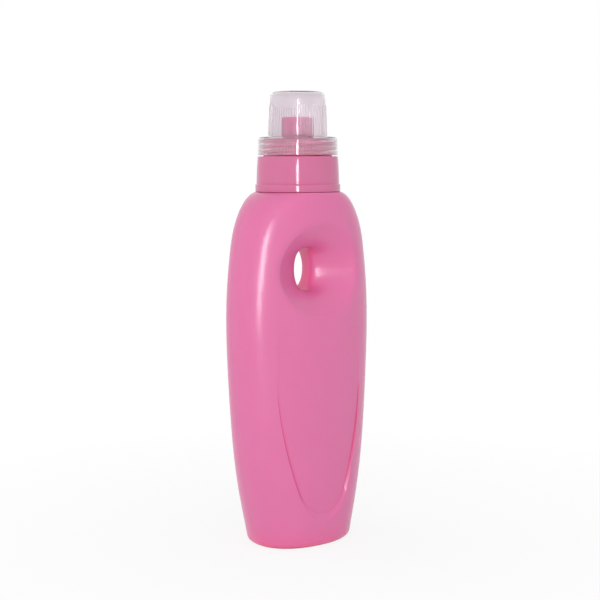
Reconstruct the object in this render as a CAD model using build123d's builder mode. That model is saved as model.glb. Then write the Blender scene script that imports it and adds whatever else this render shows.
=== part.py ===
import os
from math import copysign, cos, radians, sin

from build123d import *

# Detergent bottle: a blow-moulded bottle with a flared finger opening, a push-fit spout collar and a
# see-through dosing cap. Millimetres, +Z up, X across the wide face, Y through the finger opening,
# with the origin on the standing plane under the neck.

# Bottle body, from the standing plane to the deck under the collar
body_width = 113.0
body_depth = 64.0
body_height = 246.5
body_wall = 1.2
heel_radius = 5.6
deck_margin = 0.7
body_power = 2.2
section_points = 24
height_shares = (0, 0.10, 0.22, 0.36, 0.50, 0.63, 0.74, 0.83, 0.90, 0.95, 0.985)
width_shares = (0.67, 0.76, 0.86, 0.932, 0.978, 1.0, 0.983, 0.938, 0.874, 0.774, 0.645)
depth_shares = (0.931, 0.992, 1.0, 0.975, 0.938, 0.912, 0.904, 0.905, 0.914, 0.924, 0.934)

# Pushed-up base and the seam that the closing mould leaves across it
standing_ring = 9.0
base_rise = 2.6
base_slope = 3.0
seam_length = 46.0
seam_width = 1.4
seam_height = 0.6

# Finger opening: an oval throat that flares out to both faces
grip_height_share = 0.783
grip_depth_share = 0.91
throat_width = 14.2
throat_height = 30.0
mouth_width = 84.4
mouth_height = 66.0
mouth_rim_radius = 6.0
width_straight_share = 0.227
height_straight_share = 0.59
flare_power = 6
flare_shares = (0, 0.12, 0.21, 0.29, 0.38, 0.52, 0.68, 0.85, 1.0, 1.12)

# Label panel on the front and the back: a floor curved one way only, in a drafted U-shaped step
panel_foot = 23.5
panel_top_share = 0.615
panel_width = 77.0
panel_foot_radius = 22.0
panel_foot_sweep = 66
panel_depth = 2.3
panel_floor_radius = 112.0
panel_side_draft_share = 0.8
panel_foot_draft_share = 2.6
panel_cut_in = 5.5
panel_cut_out = 4.0

# Neck with its snap bead
neck_diameter = 50.8
neck_wall = 1.6
neck_bead_reach = 0.9
neck_bead_height = 2.4
neck_bead_drop = 8.0
neck_rim_radius = 0.4

# Spout collar
collar_gap = 0.6
collar_height = 24.0
collar_foot_diameter = 59.4
collar_foot_height = 4.9
collar_foot_edge = 1.0
collar_low_diameter = 57.8
collar_top_diameter = 56.0
collar_bulge = 0.2
collar_wall = 1.5
collar_edge = 0.6
collar_deck = 1.6
snap_clearance = 0.2
snap_rib_height = 1.8
plug_clearance = 0.2
ring_diameter = 48.0
ring_wall = 1.6
ring_edge = 0.4
trough_depth = 13.0
trough_floor = 1.4
trough_corner = 1.2
spout_rise = 26.8
spout_base_diameter = 23.2
spout_lip_diameter = 22.0
spout_wall = 1.4
spout_edge = 0.5
drain_slot_width = 4.0

# Dosing cap
cap_gap = 0.8
cap_seat_clearance = 0.3
skirt_height = 12.6
skirt_foot_diameter = 55.8
skirt_top_diameter = 55.0
skirt_wall = 1.3
skirt_corner = 2.0
skirt_inner_corner = 0.8
flange_thickness = 1.3
cup_height = 31.0
cup_foot_diameter = 40.5
cup_top_diameter = 38.3
cup_wall = 1.2
cup_corner = 4.2
cup_foot_corner = 0.6
cup_rim_drop = 9.0
rib_count = 21
rib_pitch = 6
rib_start = -126
rib_band_height = 20.0
rib_width = 1.1
rib_reach = 0.35
rib_root = 0.5
rib_run_out = 0.8

overrun = 2.0

# Levels and fits that follow from the sizes above
grip_height = grip_height_share * body_height
mouth_reach = grip_depth_share * body_depth / 2
panel_top = panel_top_share * body_height
panel_floor_reach = body_depth / 2 - panel_depth
neck_radius = neck_diameter / 2
neck_bore_radius = neck_radius - neck_wall
collar_foot_level = body_height + collar_gap
collar_top_level = collar_foot_level + collar_height
neck_top_level = collar_top_level - collar_deck
neck_bead_level = neck_top_level - neck_bead_drop
cap_foot_level = collar_top_level + cap_gap
flange_level = cap_foot_level + skirt_height
cap_top_level = flange_level + cup_height
deck_radius = collar_foot_diameter / 2 + deck_margin


def oval(half_width, half_depth, power):
    """Points of a rounded oval, fuller than an ellipse where the power is above 2."""
    points = []
    for index in range(section_points):
        turn = radians(360 * index / section_points)
        across = copysign(abs(cos(turn)) ** (2 / power), cos(turn))
        through = copysign(abs(sin(turn)) ** (2 / power), sin(turn))
        points.append((half_width * across, half_depth * through))
    return points


def moulded_body(inset):
    """The body as a solid: its outer form, or its cavity where inset is the wall."""
    base = base_cut(inset)
    panels = panel_cut(inset)
    grip = grip_cut(inset)
    with BuildPart() as body:
        # Oval sections from the base up to the round deck
        for height, width, depth in zip(height_shares, width_shares, depth_shares):
            level = inset + height * (body_height - 2 * inset)
            with BuildSketch(Plane.XY.offset(level)):
                with BuildLine():
                    half_width = width * body_width / 2 - inset
                    half_depth = depth * body_depth / 2 - inset
                    Spline(*oval(half_width, half_depth, body_power), periodic=True)
                make_face()
        with BuildSketch(Plane.XY.offset(body_height - inset)):
            with BuildLine():
                Spline(*oval(deck_radius - inset, deck_radius - inset, 2), periodic=True)
            make_face()
        loft()
        fillet(body.faces().sort_by(Axis.Z)[0].edges(), heel_radius - inset)

        # Finger opening with a rounded rim on each face, then the label panels and the pushed-up base
        add(grip, mode=Mode.SUBTRACT)
        fillet(body.edges().filter_by(on_mouth_rim), mouth_rim_radius - inset)
        add([panels, base], mode=Mode.SUBTRACT)
    return body.part


def base_cut(inset):
    """Cutter for the pushed-up base, inside the ring that the bottle stands on."""
    with BuildPart() as base:
        for level, slope in ((0, 0), (base_rise + inset, base_slope)):
            half_width = width_shares[0] * body_width / 2 - standing_ring - slope + inset
            half_depth = depth_shares[0] * body_depth / 2 - standing_ring - slope + inset
            with BuildSketch(Plane.XY.offset(level)):
                with BuildLine():
                    Spline(*oval(half_width, half_depth, body_power), periodic=True)
                make_face()
        loft()
    return base.part


def panel_cut(inset):
    """Cutter for both label panels: a drafted U outside a floor that is curved one way."""
    with BuildPart() as panel:
        for offset_out in (-panel_cut_in, panel_cut_out):
            half_width = panel_width / 2 + panel_side_draft_share * offset_out + inset
            foot = panel_foot - panel_foot_draft_share * offset_out - inset
            with BuildSketch(Plane.XZ.offset(panel_floor_reach + offset_out - inset)):
                with BuildLine():
                    foot_arc = JernArc((0, foot), (1, 0), panel_foot_radius, panel_foot_sweep)
                    side_arc = TangentArc(foot_arc @ 1, (half_width, panel_top), tangent=foot_arc % 1)
                    Line(side_arc @ 1, (0, panel_top))
                    mirror(about=Plane.YZ)
                make_face()
        loft(ruled=True)
        with Locations((0, panel_floor_radius - panel_floor_reach, 0)):
            Cylinder(
                panel_floor_radius - inset,
                panel_top + overrun,
                align=(Align.CENTER, Align.CENTER, Align.MIN),
                mode=Mode.SUBTRACT,
            )
        mirror(about=Plane.XZ)
    return panel.part


def flare(share, straight_share):
    """Widening from the throat, 0, to the mouth, 1: almost straight at first, then a steady slope."""
    straight = straight_share**flare_power
    rise = (share**flare_power + straight) ** (1 / flare_power) - straight_share
    full_rise = (1 + straight) ** (1 / flare_power) - straight_share
    return rise / full_rise


def grip_cut(inset):
    """Cutter for the finger opening: ovals along Y that widen towards both faces."""
    back_shares = [-share for share in reversed(flare_shares[1:])]
    with BuildPart() as grip:
        for share in (*back_shares, *flare_shares):
            width_flare = flare(share, width_straight_share)
            height_flare = flare(share, height_straight_share)
            half_width = (throat_width + (mouth_width - throat_width) * width_flare) / 2
            half_height = (throat_height + (mouth_height - throat_height) * height_flare) / 2
            with BuildSketch(Plane.XZ.offset(share * (mouth_reach - inset))):
                with Locations((0, grip_height)):
                    Ellipse(half_width + inset, half_height + inset)
        loft()
    return grip.part


def on_mouth_rim(edge):
    """True for the edges where the finger opening meets the front or the back."""
    box = edge.bounding_box()
    one_side = box.min.Y > mouth_reach / 2 or box.max.Y < -mouth_reach / 2
    return one_side and box.max.Z > grip_height


# Blow-moulded bottle: one even wall, with the neck standing on the deck
outer_form = moulded_body(0)
cavity = moulded_body(body_wall)
with BuildPart() as bottle:
    add(outer_form)
    with BuildSketch(Plane.XZ):
        with BuildLine():
            bead_foot = neck_bead_level - neck_bead_height
            Polyline(
                (0, body_height - body_wall),
                (neck_radius, body_height - body_wall),
                (neck_radius, bead_foot),
                (neck_radius + neck_bead_reach, bead_foot),
                (neck_radius + neck_bead_reach, bead_foot + neck_bead_height / 3),
                (neck_radius, neck_bead_level),
                (neck_radius, neck_top_level),
                (0, neck_top_level),
                close=True,
            )
        make_face()
    revolve(axis=Axis.Z)
    with BuildSketch(Plane.XY.offset(base_rise)):
        Rectangle(seam_length, seam_width)
    extrude(amount=-seam_height)
    add(cavity, mode=Mode.SUBTRACT)
    with BuildSketch(Plane.XY.offset(neck_top_level)):
        Circle(neck_bore_radius)
    extrude(amount=body_height - neck_top_level - body_wall - overrun, mode=Mode.SUBTRACT)
    fillet(bottle.faces().sort_by(Axis.Z)[-1].edges(), neck_rim_radius)
bottle.part.label = "bottle"

# Spout collar: skirt with a foot bead, threaded ring, drain-back trough and pouring spout in one moulding
low_radius = collar_low_diameter / 2
top_radius = collar_top_diameter / 2
foot_radius = collar_foot_diameter / 2
ring_radius = ring_diameter / 2
plug_radius = neck_bore_radius - plug_clearance
bead_level = collar_foot_level + collar_foot_height
trough_level = collar_top_level - trough_depth
trough_underside = trough_level - trough_floor
ring_level = flange_level - flange_thickness - cap_seat_clearance
spout_level = collar_top_level + spout_rise
lip_radius = spout_lip_diameter / 2
spout_radius = spout_base_diameter / 2
snap_level = neck_bead_level - neck_bead_height - snap_clearance
snap_radius = neck_radius + snap_clearance
with BuildPart() as spout_collar:
    with BuildSketch(Plane.XZ) as collar_section:
        with BuildLine():
            skirt_side = ThreePointArc(
                (low_radius, bead_level),
                ((low_radius + top_radius) / 2 + collar_bulge, (bead_level + collar_top_level) / 2),
                (top_radius, collar_top_level),
            )
            Polyline(
                skirt_side @ 1,
                (ring_radius, collar_top_level),
                (ring_radius, ring_level),
                (ring_radius - ring_wall, ring_level),
                (ring_radius - ring_wall, trough_level),
                (spout_radius, trough_level),
                (lip_radius, spout_level),
                (lip_radius - spout_wall, spout_level),
                (spout_radius - spout_wall, trough_underside),
                (plug_radius, trough_underside),
                (plug_radius, neck_top_level),
                (top_radius - collar_wall, neck_top_level),
                (low_radius - collar_wall, snap_level),
                (snap_radius, snap_level),
                (snap_radius, snap_level - snap_rib_height),
                (low_radius - collar_wall, snap_level - snap_rib_height - collar_wall),
                (low_radius - collar_wall, collar_foot_level),
                (foot_radius, collar_foot_level),
                (foot_radius, bead_level),
                skirt_side @ 0,
            )
        make_face()
        corners = collar_section.vertices()
        fillet(corners.sort_by_distance((top_radius, collar_top_level))[0], collar_edge)
        fillet(corners.sort_by_distance((foot_radius, collar_foot_level))[0], collar_foot_edge)
        fillet(corners.sort_by_distance((foot_radius, bead_level))[0], collar_foot_edge)
        fillet(corners.sort_by_distance((ring_radius, ring_level))[0], ring_edge)
        fillet(corners.sort_by_distance((lip_radius, spout_level))[0], spout_edge)
        fillet(corners.sort_by_distance((lip_radius - spout_wall, spout_level))[0], spout_edge)
        fillet(corners.sort_by_distance((ring_radius - ring_wall, trough_level))[0], trough_corner)
        fillet(corners.sort_by_distance((spout_radius, trough_level))[0], trough_corner)
    revolve(axis=Axis.Z)
    # Drain-back slot down the back of the spout, open to the trough floor
    with BuildSketch(Plane.XY.offset(trough_level)):
        Rectangle(spout_radius + overrun, drain_slot_width, align=(Align.MIN, Align.CENTER))
    extrude(amount=spout_rise + trough_depth + overrun, mode=Mode.SUBTRACT)
spout_collar.part.label = "spout_collar"

# Dosing cap: measuring cup, flange, screw skirt and the cup's inner rim in one moulding
cup_foot_radius = cup_foot_diameter / 2
cup_top_radius = cup_top_diameter / 2
skirt_foot_radius = skirt_foot_diameter / 2
skirt_top_radius = skirt_top_diameter / 2
flange_underside = flange_level - flange_thickness
rim_level = flange_underside - cup_rim_drop
cup_ceiling = cap_top_level - cup_wall


def cup_radius(level):
    """Outer radius of the tapered cup at a level."""
    return cup_foot_radius + (cup_top_radius - cup_foot_radius) * (level - flange_level) / cup_height


ceiling_radius = cup_radius(cup_ceiling) - cup_wall
skirt_inner_radius = skirt_top_radius - skirt_wall

# Upright grip ribs in two patches on opposite sides of the cup, running out below the plain top
rib_top = flange_level + rib_band_height
with BuildPart() as grip_ribs:
    with BuildSketch(Plane.XY.offset(flange_level - flange_thickness / 2)):
        for patch_turn in (0, 180):
            with PolarLocations(
                cup_foot_radius,
                rib_count,
                rib_start + patch_turn,
                rib_pitch * (rib_count - 1),
                endpoint=True,
            ):
                Rectangle(cup_wall + rib_reach + overrun, rib_width)
    extrude(amount=rib_band_height + overrun)
    with BuildSketch(Plane.XZ):
        with BuildLine():
            Polyline(
                (cup_foot_radius - rib_root, flange_level - flange_thickness / 2),
                (cup_foot_radius + rib_reach, flange_level - flange_thickness / 2),
                (cup_foot_radius + rib_reach, flange_level),
                (cup_radius(rib_top - rib_run_out) + rib_reach, rib_top - rib_run_out),
                (cup_radius(rib_top), rib_top),
                (cup_radius(rib_top) - rib_root, rib_top),
                close=True,
            )
        make_face()
    revolve(axis=Axis.Z, mode=Mode.INTERSECT)

with BuildPart() as dosing_cap:
    with BuildSketch(Plane.XZ) as cap_section:
        with BuildLine():
            Polyline(
                (0, cap_top_level),
                (cup_top_radius, cap_top_level),
                (cup_foot_radius, flange_level),
                (skirt_top_radius, flange_level),
                (skirt_foot_radius, cap_foot_level),
                (skirt_foot_radius - skirt_wall, cap_foot_level),
                (skirt_inner_radius, flange_underside),
                (cup_foot_radius, flange_underside),
                (cup_foot_radius, rim_level),
                (cup_foot_radius - cup_wall, rim_level),
                (cup_foot_radius - cup_wall, flange_level),
                (ceiling_radius, cup_ceiling),
                (0, cup_ceiling),
                close=True,
            )
        make_face()
        corners = cap_section.vertices()
        fillet(corners.sort_by_distance((cup_top_radius, cap_top_level))[0], cup_corner)
        fillet(corners.sort_by_distance((ceiling_radius, cup_ceiling))[0], cup_corner - cup_wall)
        fillet(corners.sort_by_distance((cup_foot_radius, flange_level))[0], cup_foot_corner)
        fillet(corners.sort_by_distance((skirt_top_radius, flange_level))[0], skirt_corner)
        fillet(corners.sort_by_distance((skirt_inner_radius, flange_underside))[0], skirt_inner_corner)
    revolve(axis=Axis.Z)
    add(grip_ribs.part)
dosing_cap.part.label = "dosing_cap"

os.makedirs("parts", exist_ok=True)
export_step(bottle.part, "parts/bottle.step")
export_step(spout_collar.part, "parts/spout_collar.step")
export_step(dosing_cap.part, "parts/dosing_cap.step")
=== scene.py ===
from math import asin, atan2, cos, degrees, hypot, pi, radians, sin

import bmesh
import bpy
from mathutils import Matrix, Vector


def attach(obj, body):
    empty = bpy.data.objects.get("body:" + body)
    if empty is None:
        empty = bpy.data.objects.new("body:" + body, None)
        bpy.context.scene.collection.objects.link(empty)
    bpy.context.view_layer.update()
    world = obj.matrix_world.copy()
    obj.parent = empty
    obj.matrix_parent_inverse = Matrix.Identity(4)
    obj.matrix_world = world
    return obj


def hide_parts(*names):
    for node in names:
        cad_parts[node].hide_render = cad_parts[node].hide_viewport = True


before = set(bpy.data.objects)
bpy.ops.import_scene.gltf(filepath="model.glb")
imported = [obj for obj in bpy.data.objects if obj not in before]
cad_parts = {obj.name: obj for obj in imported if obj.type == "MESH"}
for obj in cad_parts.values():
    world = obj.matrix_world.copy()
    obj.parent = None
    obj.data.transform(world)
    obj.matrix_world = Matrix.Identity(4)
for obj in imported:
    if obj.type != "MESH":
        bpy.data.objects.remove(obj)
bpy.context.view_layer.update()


# Bottle: one thin wall of pink polyethylene, blown in a two-part mould with a fine sparked texture.
# The mould leaves a hairline seam all round in the middle plane, and the colour is a little cloudy.
class Wire:
    """A socket in a material's nodes that takes part in Python sums."""

    def __init__(self, tree, socket=None):
        self.tree = tree
        self.socket = socket

    def node(self, kind, settings, inputs, output=0):
        """A new node, with its settings set first, as the wire from one of its outputs."""
        made = self.tree.nodes.new(kind)
        for name, value in settings.items():
            setattr(made, name, value)
        for name, value in inputs.items():
            if isinstance(value, Wire):
                self.tree.links.new(value.socket, made.inputs[name])
            else:
                made.inputs[name].default_value = value
        return Wire(self.tree, made.outputs[output])

    def beside(self, output):
        """The wire from another output of the same node."""
        return Wire(self.tree, self.socket.node.outputs[output])

    def maths(self, operation, *terms):
        return self.node("ShaderNodeMath", {"operation": operation}, dict(enumerate(terms)))

    def __add__(self, other):
        return self.maths("ADD", self, other)

    def __sub__(self, other):
        return self.maths("SUBTRACT", self, other)

    def __rsub__(self, other):
        return self.maths("SUBTRACT", other, self)

    def __mul__(self, other):
        return self.maths("MULTIPLY", self, other)

    def __abs__(self):
        return self.maths("ABSOLUTE", self)

    __radd__ = __add__
    __rmul__ = __mul__


def plastic(name, plain, links):
    """A plastic material from the shader's plain values and the wires that its links function makes."""
    material = bpy.data.materials.new(name)
    material.use_nodes = True
    shader = material.node_tree.nodes["Principled BSDF"]
    for socket, value in plain.items():
        shader.inputs[socket].default_value = value
    place = Wire(material.node_tree).node("ShaderNodeTexCoord", {}, {}, "Object")
    for socket, wire in links(place).items():
        material.node_tree.links.new(wire.socket, shader.inputs[socket])
    return material


def noise(place, size, detail):
    """Noise from 0 to 1 whose clouds are about that size, in metres."""
    return place.node("ShaderNodeTexNoise", {}, {"Vector": place, "Scale": 1 / size, "Detail": detail})


def tint(factor, *colours):
    """A colour that goes from one to another, each a wire or plain, with the factor."""
    plain, full = (colour if isinstance(colour, Wire) else (*colour, 1) for colour in colours)
    return factor.node("ShaderNodeMix", {"data_type": "RGBA"}, {0: factor, 6: plain, 7: full}, 2)


def with_painted_hollow_shade(colour, painted_shade_colour, reach, least, most, only_local=False):
    """Painted shade: a colour tinted towards a deeper one where the surface is closed off within about that
    reach, from the least to the most share closed off.
    """
    settings = {"samples": 8, "only_local": only_local}
    open_share = colour.node("ShaderNodeAmbientOcclusion", settings, {"Distance": reach}, "AO")
    ends = {"Value": 1 - open_share, "From Min": least, "From Max": most}
    return tint(colour.node("ShaderNodeMapRange", {"clamp": True}, ends), colour, painted_shade_colour)


bottle_pinks = (0.71, 0.155, 0.355), (0.74, 0.175, 0.385)
bottle_cloud, bottle_cloud_share, bottle_grain = 0.03, 0.8, 0.0013
# Painted shade: a deeper rose tinted into the bottle's colour in the grip hollow, where the wall is closed
# off within a few cm.
hollow_painted_shade, hollow_shade_reach = (0.86, 0.12, 0.31), 0.03
# Painted shade: a thin deep red tinted into the colour along creases, such as the label panel's edge and
# the base edge.
crease_painted_shade, crease_shade_reach = (0.74, 0.025, 0.15), 0.0025
seam_half_width, seam_height, grain_share = 0.00025, 0.0001, 0.22
satin_roughness, satin_spread = 0.18, 0.1
# Both pink plastics let a little light into the wall.
light_soak = {
    "Subsurface Weight": 0.3,
    "Subsurface Radius": (1, 0.25, 0.4),
    "Subsurface Scale": 0.003,
}


def bottle_links(place):
    clouds = noise(place, bottle_cloud, detail=3)
    grain = noise(place, bottle_grain, detail=2)
    across = place.node("ShaderNodeSeparateXYZ", {}, {"Vector": place}, "Y")
    seam = place.maths("MAXIMUM", 1 - abs(across) * (1 / seam_half_width), 0)
    relief = grain * grain_share + seam
    mottle = clouds * bottle_cloud_share + grain * (1 - bottle_cloud_share)
    # Painted shade: the mottled pink is deepened where the grip hollow closes in.
    pink_with_hollow_shade = with_painted_hollow_shade(tint(mottle, *bottle_pinks), hollow_painted_shade, hollow_shade_reach, least=0.3, most=0.9)
    return {
        # Painted shade: then deep red along the creases and the base edge.
        "Base Color": with_painted_hollow_shade(pink_with_hollow_shade, crease_painted_shade, crease_shade_reach, least=0, most=0.42),
        "Roughness": satin_roughness + grain * satin_spread,
        "Normal": place.node("ShaderNodeBump", {}, {"Distance": seam_height, "Height": relief}),
    }


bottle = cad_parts["bottle"]
bottle.data.materials.clear()
bottle.data.materials.append(plastic("satin_pink", {"IOR": 1.5, **light_soak}, bottle_links))

# Spout collar: one glossy pink polypropylene moulding that is pushed down over the neck bead. It has the
# tapered skirt, the ring with a two-start thread, the drain-back trough and the spout with its slot.
# Its sizes are in mm, as radii about the neck axis and heights above the standing plane.
MM = 0.001
near = 0.1  # how close to a size counts as on it
collar_foot, collar_bead, collar_top, collar_ceiling = 246.7, 252.0, 271.1, 269.5
bead_radius, bead_round, bead_foot_round = 29.7, 0.9, 0.5
skirt_foot_radius, skirt_low_radius, skirt_high_radius, skirt_top_radius = 28.9, 28.78, 28.45, 28.0
skirt_low, skirt_high, skirt_top_round = 257.0, 264.5, 0.6
bore_radius, bore_top_radius, catch_radius = 27.4, 26.5, 25.6
catch_top, catch_edge, catch_lead_in = 258.9, 257.1, 255.6
ring_radius, ring_bore, ring_top, ring_fillet, fine_edge = 24.0, 22.4, 282.9, 0.2, 0.3
plug_radius, trough, trough_underside, trough_fillet = 23.6, 258.1, 256.7, 1.2
thread_lead, thread_starts, thread_front, thread_flank_share = 7.2, 2, -126.5, 0.6
thread_margin, thread_rows = 0.5, 34
thread_foot, thread_top = collar_top + thread_margin, ring_top - thread_margin
ring_thread = {"low": 275.2, "half_width": 0.9, "reach": 0.9}
spout_foot_radius, spout_lip_radius, spout_wall, spout_lip, lip_round = 11.6, 11.0, 1.4, 297.9, 0.5
spout_sink, slot_half_width = 0.4, 2.0
spout_foot = trough - spout_sink


def outline(section):
    """A wire in the XZ plane through corners of (radius, height, rounding, rows to the next), in mm."""
    mesh = bmesh.new()
    corners = [mesh.verts.new((radius * MM, 0, height * MM)) for radius, height, _, _ in section]
    edges = [mesh.edges.new(pair) for pair in zip(corners, corners[1:])]
    if section[0][0]:
        edges.append(mesh.edges.new((corners[-1], corners[0])))
    for edge, (_, _, _, rows) in zip(edges, section):
        if rows:
            bmesh.ops.subdivide_edges(mesh, edges=[edge], cuts=rows - 1)
    for radius, height, rounding, _ in section:
        if rounding:
            corner = Vector((radius * MM, 0, height * MM))
            bmesh.ops.bevel(
                mesh,
                geom=[min(mesh.verts, key=lambda vert: (vert.co - corner).length)],
                offset=rounding * MM,
                affect="VERTICES",
                segments=5,
                profile=0.5,
                material=-1,
            )
    return mesh


def swept(mesh, angle, steps, copies=0):
    """Spins a wire about the neck axis by an angle, then copies that sector round or closes its ends."""
    about = {"cent": (0, 0, 0), "axis": (0, 0, 1)}
    bmesh.ops.spin(mesh, geom=mesh.verts[:] + mesh.edges[:], angle=angle, steps=steps, **about)
    if copies:
        sector = mesh.verts[:] + mesh.edges[:] + mesh.faces[:]
        bmesh.ops.spin(mesh, geom=sector, angle=angle * copies, steps=copies, use_duplicate=True, **about)
    else:
        bmesh.ops.holes_fill(mesh, edges=[edge for edge in mesh.edges if edge.is_boundary])
    bmesh.ops.remove_doubles(mesh, verts=mesh.verts[:], dist=1e-6)
    bmesh.ops.recalc_face_normals(mesh, faces=mesh.faces[:])


def thread(vert, low, half_width, reach):
    """How far the thread stands out at a vertex, in mm: low is a ridge's height at the thread's front."""
    pitch = thread_lead / thread_starts
    turn = degrees(atan2(vert.co.y, vert.co.x)) - thread_front
    height = vert.co.z / MM - low - thread_lead * turn / 360
    off = abs((height + pitch / 2) % pitch - pitch / 2)
    return reach * min(1, max(0, (half_width - off) / (half_width * thread_flank_share)))


def push_out(vert, reach):
    """Moves a vertex away from the neck axis by a reach in mm."""
    vert.co += Vector((vert.co.x, vert.co.y, 0)) * (reach * MM / hypot(vert.co.x, vert.co.y))


def placed(name, mesh, material, body, node):
    """Puts the finished piece in place of its node, riding on a body."""
    data = bpy.data.meshes.new(name)
    mesh.to_mesh(data)
    mesh.free()
    data.shade_smooth()
    data.set_sharp_from_angle(angle=radians(40))
    data.materials.append(material)
    piece = bpy.data.objects.new(name, data)
    bpy.context.scene.collection.objects.link(piece)
    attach(piece, body)
    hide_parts(node)


collar_mesh = outline(
    (
        (skirt_foot_radius, collar_bead, fine_edge, 0),
        (skirt_low_radius, skirt_low, 0, 0),
        (skirt_high_radius, skirt_high, 0, 0),
        (skirt_top_radius, collar_top, skirt_top_round, 0),
        (ring_radius, collar_top, ring_fillet, 0),
        (ring_radius, thread_foot, 0, thread_rows),
        (ring_radius, thread_top, 0, 0),
        (ring_radius, ring_top, fine_edge, 0),
        (ring_bore, ring_top, fine_edge, 0),
        (ring_bore, trough, trough_fillet, 0),
        (spout_foot_radius - spout_wall, trough, 0, 0),
        (spout_foot_radius - spout_wall, trough_underside, 0, 0),
        (plug_radius, trough_underside, 0, 0),
        (plug_radius, collar_ceiling, 0, 0),
        (bore_top_radius, collar_ceiling, 0, 0),
        (bore_radius, catch_top, 0, 0),
        (catch_radius, catch_top, 0, 0),
        (catch_radius, catch_edge, 0, 0),
        (bore_radius, catch_lead_in, 0, 0),
        (bore_radius, collar_foot, 0, 0),
        (bead_radius, collar_foot, bead_foot_round, 0),
        (bead_radius, collar_bead, bead_round, 0),
    )
)
swept(collar_mesh, pi / 4, steps=60, copies=7)
for vert in collar_mesh.verts:
    on_ring = abs(hypot(vert.co.x, vert.co.y) / MM - ring_radius) < near
    if on_ring and thread_foot - near < vert.co.z / MM < thread_top + near:
        push_out(vert, thread(vert, **ring_thread))

slot_turn = 2 * asin(slot_half_width / spout_foot_radius)
spout_mesh = outline(
    (
        (spout_foot_radius, spout_foot, 0, 0),
        (spout_lip_radius, spout_lip, lip_round, 0),
        (spout_lip_radius - spout_wall, spout_lip, lip_round, 0),
        (spout_foot_radius - spout_wall, spout_foot, 0, 0),
    )
)
swept(spout_mesh, 2 * pi - slot_turn, steps=96)
bmesh.ops.rotate(spout_mesh, verts=spout_mesh.verts[:], matrix=Matrix.Rotation(slot_turn / 2, 3, "Z"))
spout_data = bpy.data.meshes.new("spout")
spout_mesh.to_mesh(spout_data)
spout_mesh.free()
collar_mesh.from_mesh(spout_data)
bpy.data.meshes.remove(spout_data)

# Painted shade: the deep red here is tinted into the collar's colour in its own creases and gaps, where
# shade falls.
collar_pinks, collar_crease_painted_shade = ((0.60, 0.145, 0.30), (0.63, 0.16, 0.32)), (0.70, 0.03, 0.13)
collar_cloud, collar_grain, collar_grain_share = 0.02, 0.0009, 0.2
gloss_roughness, gloss_spread, gloss_ripple = 0.08, 0.05, 0.00003


def collar_links(place):
    clouds = noise(place, collar_cloud, detail=3)
    grain = noise(place, collar_grain, detail=2)
    pink = tint(clouds, *collar_pinks)
    relief = clouds + grain * collar_grain_share
    return {
        # Painted shade: the pink is deepened to red in the collar's creases and gaps.
        "Base Color": with_painted_hollow_shade(pink, collar_crease_painted_shade, crease_shade_reach, least=0, most=0.8, only_local=True),
        "Roughness": gloss_roughness + grain * gloss_spread,
        "Normal": place.node("ShaderNodeBump", {}, {"Distance": gloss_ripple, "Height": relief}),
    }


gloss_pink = plastic("gloss_pink", {"IOR": 1.49, **light_soak}, collar_links)
placed("collar", collar_mesh, gloss_pink, "bottle", "spout_collar")

# Dosing cap: a measuring cup with a wide screw skirt, moulded in one from see-through polypropylene.
# It has grip ribs on two sides of the cup, fine upright ribs and the thread inside the skirt, and an
# inner rim that drips back into the trough. The skirt screws down over the collar's ring.
cap_foot, inner_rim, flange, cap_top = 271.9, 274.2, 284.5, 315.5
cup_foot_radius, cup_top_radius, cup_wall, cup_round, cup_draft = 20.25, 19.15, 1.2, 4.2, 0.04
cup_slope = (cup_top_radius - cup_foot_radius) / (cap_top - flange)
flange_radius, flange_wall, flange_round, flange_fillet = 27.5, 1.3, 2.0, 0.6
cap_ceiling = flange - flange_wall
ceiling_fillet, rim_edge = 0.8, 0.4
cap_foot_radius, cap_bore_foot, cap_bore_top = 27.9, 26.6, 26.2
rib_foot_gap, rib_top_gap, rib_end, rib_reach = 1.2, 22, 1, 0.35
rib_low, rib_high = flange + rib_foot_gap, flange + rib_top_gap
rib_start, rib_pitch, rib_half_turn, last_rib, patch_turn = -126, 6, 1.9, 20, 180
fine_ribs, fine_foot_gap, fine_top_gap, fine_reach, fine_rows = 76, 0.8, 1.2, 0.15, 30
fine_low, fine_high = cap_foot + fine_foot_gap, cap_ceiling - fine_top_gap
fine_low_bore, fine_high_bore = 26.57, 26.22
cap_thread = {"low": 277.0, "half_width": 0.6, "reach": 0.75}


def cup_radius(height):
    """The cup's outside radius between its ribs at a height, both in mm."""
    return cup_foot_radius + cup_slope * (height - flange)


cap_mesh = outline(
    (
        (0, cap_top, 0, 0),
        (cup_top_radius, cap_top, cup_round, 0),
        (cup_radius(rib_high), rib_high, 0, 0),
        (cup_radius(rib_high - rib_end), rib_high - rib_end, 0, 0),
        (cup_radius(rib_low), rib_low, 0, 0),
        (cup_foot_radius, flange, flange_fillet, 0),
        (flange_radius, flange, flange_round, 0),
        (cap_foot_radius, cap_foot, fine_edge, 0),
        (cap_bore_foot, cap_foot, fine_edge, 0),
        (fine_low_bore, fine_low, 0, fine_rows),
        (fine_high_bore, fine_high, 0, 0),
        (cap_bore_top, cap_ceiling, ceiling_fillet, 0),
        (cup_foot_radius, cap_ceiling, rim_edge, 0),
        (cup_foot_radius, inner_rim, rim_edge, 0),
        (cup_foot_radius - cup_wall, inner_rim, rim_edge, 0),
        (cup_foot_radius - cup_wall, flange, 0, 0),
        (cup_top_radius - cup_wall + cup_draft, cap_top - cup_wall, cup_round - cup_wall, 0),
        (0, cap_top - cup_wall, 0, 0),
    )
)
swept(cap_mesh, pi / 4, steps=90, copies=7)
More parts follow.
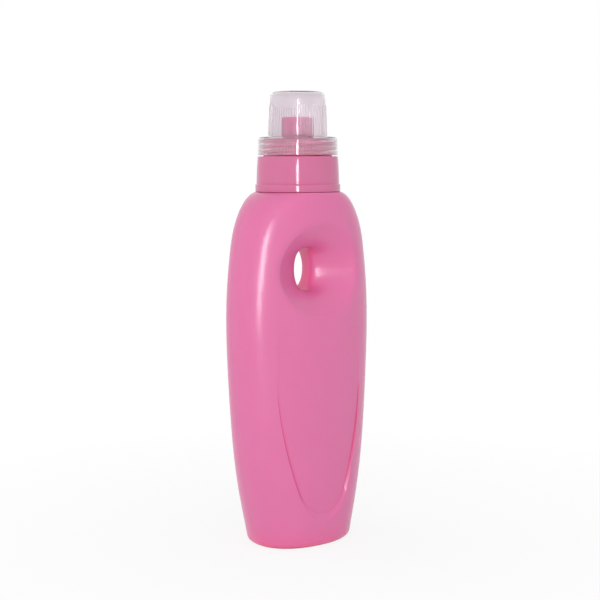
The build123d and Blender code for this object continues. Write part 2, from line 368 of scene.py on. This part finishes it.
for vert in cap_mesh.verts:
    radius, height = hypot(vert.co.x, vert.co.y) / MM, vert.co.z / MM
    turn = degrees(atan2(vert.co.y, vert.co.x))
    if radius > cup_top_radius and rib_low - near < height < rib_high - rib_end / 2:
        count = (turn - rib_start) % patch_turn / rib_pitch
        off = abs(count - round(count)) * rib_pitch
        if round(count) <= last_rib:
            push_out(vert, rib_reach * max(0, 1 - (off / rib_half_turn) ** 2))
    if cap_bore_top - near < radius < cap_bore_foot and fine_low - near < height < fine_high + near:
        ridge = fine_reach * max(0, cos(radians(turn * fine_ribs)))
        push_out(vert, -max(ridge, thread(vert, **cap_thread)))

cap_lilacs, milk_colour = ((0.83, 0.77, 0.81), (0.86, 0.80, 0.84)), (0.93, 0.77, 0.84, 1)
cap_cloud, clear_roughness, clear_spread = 0.012, 0.05, 0.05
rib_milk, fine_milk, thread_milk = 0.4, 0.24, 0.1


def cap_links(place):
    clouds = noise(place, cap_cloud, detail=3)
    return {
        "Base Color": tint(clouds, *cap_lilacs),
        "Roughness": clear_roughness + clouds * clear_spread,
        "Coat Weight": 1 - place.node("ShaderNodeNewGeometry", {}, {}, "Backfacing"),
        "Normal": place.node("ShaderNodeBump", {}, {"Distance": gloss_ripple, "Height": clouds}),
    }


def between(wire, low, high):
    """1 where a wire in metres lies between two sizes in mm, and 0 elsewhere."""
    return wire.maths("GREATER_THAN", wire, low * MM) * wire.maths("LESS_THAN", wire, high * MM)


def milkiness(place):
    """How milky the wall looks at a point, more on the grip ribs, the fine ribs and the thread."""
    across = place.node("ShaderNodeSeparateXYZ", {}, {"Vector": place}, "X")
    along, up = across.beside("Y"), across.beside("Z")
    radius = place.maths("SQRT", across * across + along * along)
    cup_side = cup_radius(0) * MM + up * cup_slope
    rib_rise = place.maths("MAXIMUM", radius - cup_side, 0) * (1 / (rib_reach * MM))
    on_rib = between(up, rib_low, cap_top) * rib_rise
    bore_slope = (fine_high_bore - fine_low_bore) / (fine_high - fine_low)
    bore_side = (fine_low_bore - fine_low * bore_slope) * MM + up * bore_slope
    in_skirt = between(radius, ring_radius, cap_bore_foot) * between(up, fine_low, fine_high)
    turn = place.maths("ARCTAN2", along, across)
    fine = place.maths("MAXIMUM", place.maths("COSINE", turn * fine_ribs), 0)
    clear_of_ribs = 2 * fine_reach
    thread_rise = place.maths("MAXIMUM", bore_side - radius - clear_of_ribs * MM, 0)
    on_thread = thread_rise * (1 / ((cap_thread["reach"] - clear_of_ribs) * MM))
    return on_rib * on_rib * rib_milk + in_skirt * (fine * fine * fine_milk + on_thread * thread_milk)


clear_wall = {
    "IOR": 1.18,
    "Transmission Weight": 0.94,
    "Coat Roughness": 0.04,
    "Coat IOR": 1.5,
}
clear_lilac = plastic("clear_lilac", clear_wall, cap_links)
cap_tree = clear_lilac.node_tree
milky = milkiness(Wire(cap_tree).node("ShaderNodeTexCoord", {}, {}, "Object"))
clear = Wire(cap_tree, cap_tree.nodes["Principled BSDF"].outputs["BSDF"])
milk = milky.node("ShaderNodeBsdfDiffuse", {}, {"Color": milk_colour})
ribbed = milky.node("ShaderNodeMixShader", {}, {0: milky, 1: clear, 2: milk})
cap_tree.links.new(ribbed.socket, cap_tree.nodes["Material Output"].inputs["Surface"])
placed("cap", cap_mesh, clear_lilac, "cap", "dosing_cap")

# Table: a plain matt white table top that the bottle stands on, much wider than the view.
# It is seen white, and keeps a soft shade close round the foot of the bottle.
table_half_width, table_white = 4, (0.88, 0.88, 0.88, 1)
foot_white_share, white_share_per_metre = 0.84, 0.4
floor_mesh = bmesh.new()
bmesh.ops.create_grid(floor_mesh, x_segments=1, y_segments=1, size=table_half_width)
floor_data = bpy.data.meshes.new("floor")
floor_mesh.to_mesh(floor_data)
floor_mesh.free()
floor = bpy.data.objects.new("floor", floor_data)
bpy.context.scene.collection.objects.link(floor)


def white_where_seen(tree, plain_shader, output, share):
    """Mixes white light into a shader for the rays that show the background itself."""
    rays = Wire(tree).node("ShaderNodeLightPath", {}, {}, "Is Camera Ray")
    seen = rays
    for name in ("Is Glossy Ray", "Is Transmission Ray"):
        seen = seen.maths("MAXIMUM", seen, rays.beside(name))
    white = seen.node("ShaderNodeEmission", {}, {"Color": (1, 1, 1, 1), "Strength": 1})
    mixed = seen.node("ShaderNodeMixShader", {}, {0: seen * share, 1: plain_shader, 2: white})
    tree.links.new(mixed.socket, output.inputs["Surface"])


table = bpy.data.materials.new("white_table")
table.use_nodes = True
table.node_tree.nodes.remove(table.node_tree.nodes["Principled BSDF"])
matt = Wire(table.node_tree).node("ShaderNodeBsdfDiffuse", {}, {"Color": table_white})
spot = matt.node("ShaderNodeTexCoord", {}, {}, "Object")
away = spot.node("ShaderNodeVectorMath", {"operation": "LENGTH"}, {0: spot}, "Value")
white_share = away.maths("MINIMUM", foot_white_share + away * white_share_per_metre, 1)
white_where_seen(table.node_tree, matt, table.node_tree.nodes["Material Output"], white_share)
floor_data.materials.append(table)

# Light: a white tent all round, a broad soft lamp beside the camera, a weaker one behind on the left, and a
# narrow upright strip with a smaller one above it that only draw the streaks.
world = bpy.data.worlds.new("tent")
bpy.context.scene.world = world
world.use_nodes = True
tent = world.node_tree.nodes["Background"]
tent.inputs["Color"].default_value = (1, 1, 1, 1)
tent.inputs["Strength"].default_value = 0.62
tent_light = Wire(world.node_tree, tent.outputs["Background"])
white_where_seen(world.node_tree, tent_light, world.node_tree.nodes["World Output"], share=1)


def lamp(name, width, height, watts, turn, distance, level):
    """A lamp panel that faces the neck axis, in metres, turned by degrees from the front to the left."""
    data = bpy.data.lights.new(name, "AREA")
    data.shape = "RECTANGLE"
    data.size = width
    data.size_y = height
    data.energy = watts
    panel = bpy.data.objects.new(name, data)
    bpy.context.scene.collection.objects.link(panel)
    panel.location = (-sin(radians(turn)) * distance, -cos(radians(turn)) * distance, level)
    panel.rotation_euler = (pi / 2, 0, -radians(turn))
    return panel


strip = lamp("strip", width=0.09, height=0.3, watts=2.35, turn=37.3, distance=1, level=0.25)
strip_top = lamp("strip_top", width=0.04, height=0.1, watts=0.4, turn=36.5, distance=1, level=0.455)
back = lamp("back", width=0.8, height=0.8, watts=3.2, turn=135, distance=1.2, level=0.35)
key = lamp("key", width=1.2, height=1.2, watts=11.1, turn=36, distance=1.4, level=0.55)
strip.visible_diffuse = strip_top.visible_diffuse = False
back.visible_glossy = key.visible_glossy = False

# Camera: level with the collar, turned so that the left narrow side and the front face both show.
# Its place is given by the turn to the left, the distance from the neck axis and a small step aside.
turn, pitch, roll = radians(36.4816), radians(6.1097), radians(0.122)
camera_distance, camera_height, camera_aside = 0.8887, 0.26581, 0.00134
camera_data = bpy.data.cameras.new("camera")
camera_data.sensor_width = 36
camera_data.lens = 76.2186
camera = bpy.data.objects.new("camera", camera_data)
bpy.context.scene.collection.objects.link(camera)
bpy.context.scene.camera = camera
right = Vector((cos(turn), -sin(turn), 0))
ahead = Vector((sin(turn) * cos(pitch), cos(turn) * cos(pitch), -sin(pitch)))
up = right.cross(ahead)
side = right * cos(roll) - up * sin(roll)
top = right * sin(roll) + up * cos(roll)
axes = Matrix((side, top, -ahead)).transposed()
stand = Vector((-sin(turn) * camera_distance, -cos(turn) * camera_distance, camera_height))
camera.matrix_world = Matrix.Translation(stand + right * camera_aside) @ axes.to_4x4()
bpy.context.scene.view_settings.view_transform = "Standard"
